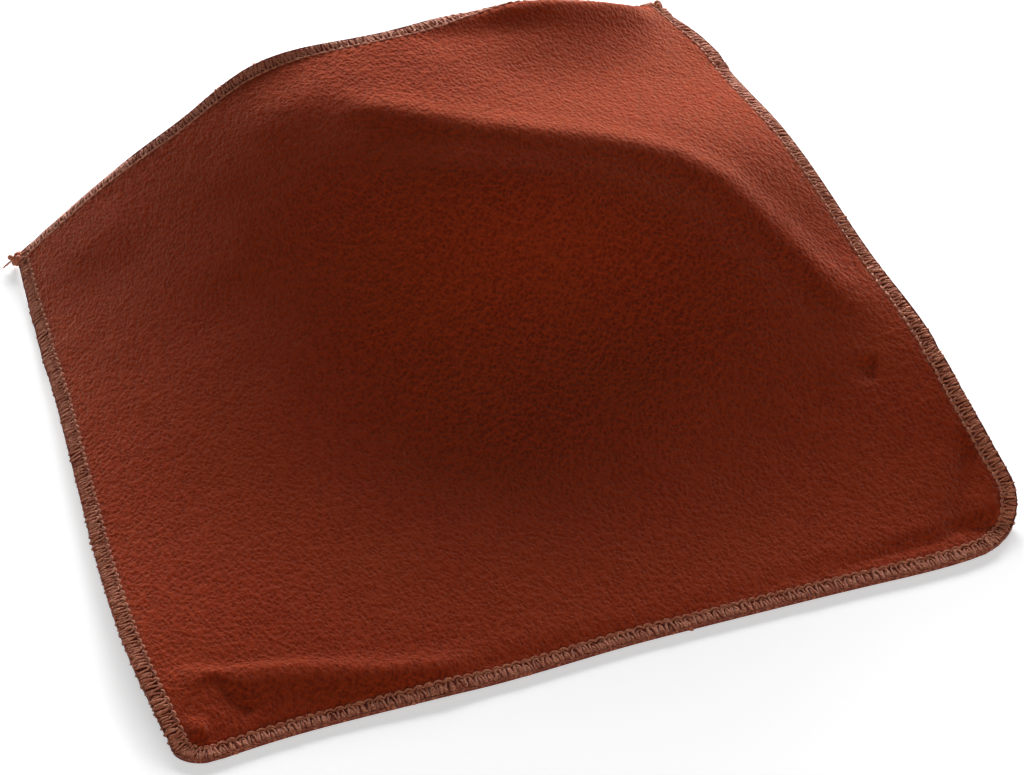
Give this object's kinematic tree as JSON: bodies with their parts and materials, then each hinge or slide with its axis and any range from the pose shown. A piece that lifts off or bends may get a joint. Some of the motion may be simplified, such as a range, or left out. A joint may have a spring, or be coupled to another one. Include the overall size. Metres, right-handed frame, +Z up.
{
  "type": "microfiber cleaning cloth",
  "caption": "Square brushed microfiber cleaning cloth with an overlocked edge, lying on a table with its back half raised in one soft hump.",
  "frame": {"origin": "middle of the cloth's footprint, on the table", "axes": "+X towards the right edge, +Y from the front edge to the raised back edge, +Z up"},
  "size_m": [0.3054, 0.303, 0.0703],
  "materials": {
    "pile": "short brushed pile, matt with a soft sheen",
    "thread": "spun polyester overlocking thread, matt"
  },
  "bodies": {
    "root": {"cloth_panel": "pile", "edge_needle_thread": "thread", "edge_upper_looper_thread": "thread", "edge_lower_looper_thread": "thread", "back_needle_thread": "thread", "back_upper_looper_thread": "thread", "back_lower_looper_thread": "thread", "back_left_thread_knot": "thread", "back_right_thread_knot": "thread"}
  },
  "joints": []
}
